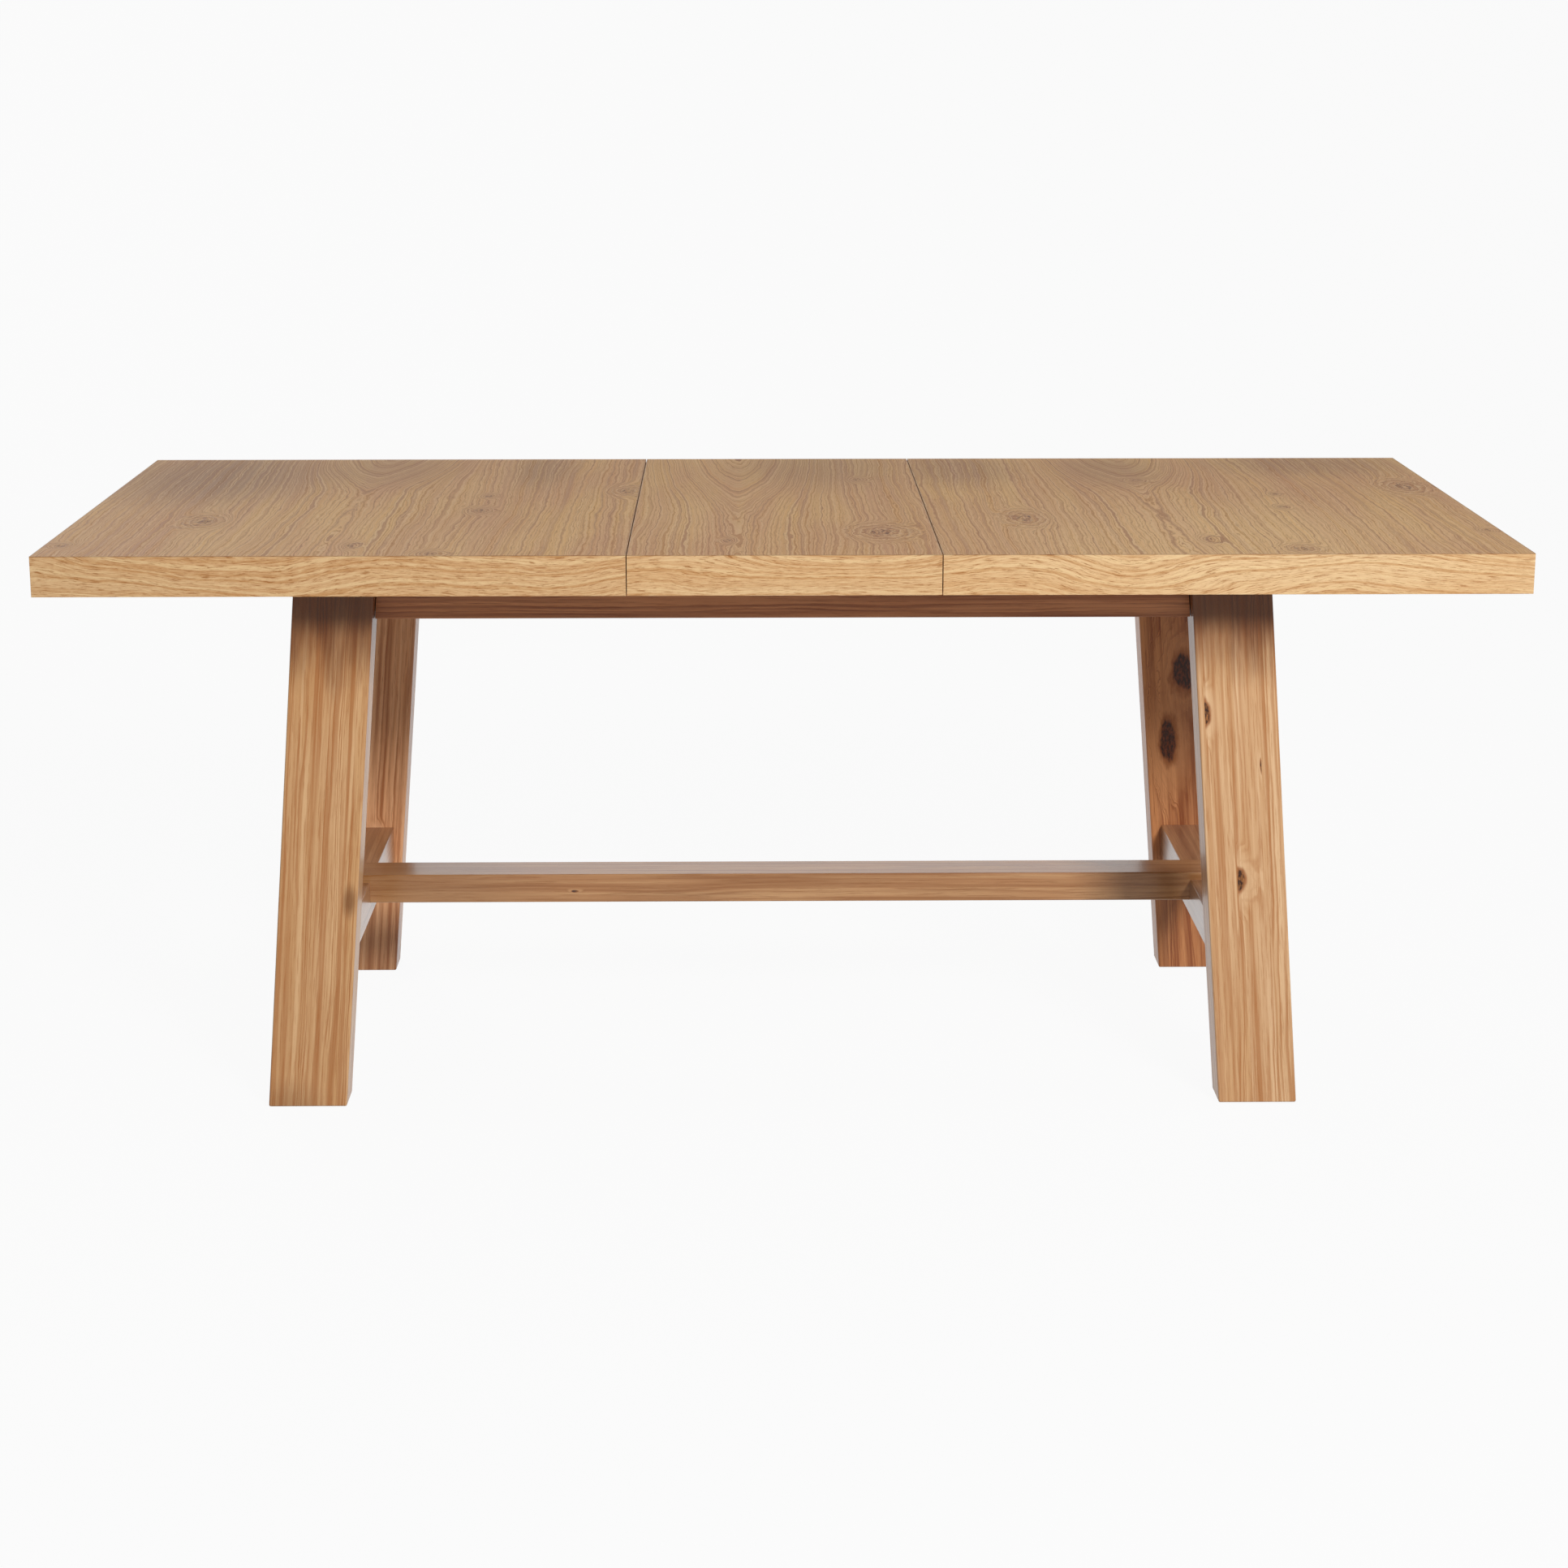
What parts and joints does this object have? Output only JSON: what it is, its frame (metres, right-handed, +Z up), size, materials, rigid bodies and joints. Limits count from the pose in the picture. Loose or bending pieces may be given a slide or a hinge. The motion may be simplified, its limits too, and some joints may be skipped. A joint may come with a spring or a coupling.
{
  "type": "extendable dining table",
  "caption": "Rectangular extending dining table on a trestle base with leaning legs and a low stretcher, drawn open with its loose centre leaf in place.",
  "frame": {"origin": "on the floor, under the middle of the table", "axes": "+X along the table's length, +Y across its width towards the back, +Z up"},
  "size_m": [1.9, 0.9, 0.77],
  "materials": {
    "oak_veneer": "open-pored oak veneer, matt lacquer",
    "oak_edge": "oak edge band, matt lacquer",
    "panel_core": "softwood bars, unfinished",
    "panel_board": "fibreboard, sealed",
    "pine_leg": "solid pine, stained and matt lacquered",
    "pine_rail": "solid pine, stained and matt lacquered",
    "beech": "beech, waxed",
    "steel": "zinc plated",
    "plastic": "smooth, low friction"
  },
  "bodies": {
    "base": {"apron_dowels": "beech", "back_apron": "pine_rail", "centre_bearer": "pine_rail", "corner_block_screws": "steel", "corner_blocks": "pine_rail", "foot_glides": "plastic", "front_apron": "pine_rail", "guide_rail_screws": "steel", "left_back_guide_rail": "beech", "left_back_leg": "pine_leg", "left_end_rail": "pine_rail", "left_foot_rail": "pine_rail", "left_front_guide_rail": "beech", "left_front_leg": "pine_leg", "leg_bolts": "steel", "right_back_guide_rail": "beech", "right_back_leg": "pine_leg", "right_end_rail": "pine_rail", "right_foot_rail": "pine_rail", "right_front_guide_rail": "beech", "right_front_leg": "pine_leg", "slide_pads": "plastic", "stretcher": "pine_rail", "stretcher_bolts": "steel"},
    "left_half": {"left_back_runner": "beech", "left_front_runner": "beech", "left_runner_screws": "steel", "left_top_back_edge": "oak_edge", "left_top_core_frame": "panel_core", "left_top_dowels": "beech", "left_top_end_edge": "oak_edge", "left_top_front_edge": "oak_edge", "left_top_lower_skin": "panel_board", "left_top_seam_edge": "oak_edge", "left_top_upper_skin": "oak_veneer"},
    "right_half": {"right_back_runner": "beech", "right_front_runner": "beech", "right_runner_screws": "steel", "right_top_back_edge": "oak_edge", "right_top_core_frame": "panel_core", "right_top_dowels": "beech", "right_top_end_edge": "oak_edge", "right_top_front_edge": "oak_edge", "right_top_lower_skin": "panel_board", "right_top_seam_edge": "oak_edge", "right_top_upper_skin": "oak_veneer"},
    "leaf": {"leaf_back_edge": "oak_edge", "leaf_core_frame": "panel_core", "leaf_front_edge": "oak_edge", "leaf_left_edge": "oak_edge", "leaf_lower_skin": "panel_board", "leaf_right_edge": "oak_edge", "leaf_upper_skin": "oak_veneer"}
  },
  "joints": [
    {"name": "left_slide", "type": "slide", "parent": "base", "child": "left_half", "axis": [-1, 0, 0], "range_m": [0, 0.038]},
    {"name": "right_slide", "type": "slide", "parent": "base", "child": "right_half", "axis": [1, 0, 0], "range_m": [0, 0.038]},
    {"name": "leaf_lift", "type": "slide", "parent": "base", "child": "leaf", "axis": [0, 0, 1], "range_m": [0, 0.3]}
  ]
}
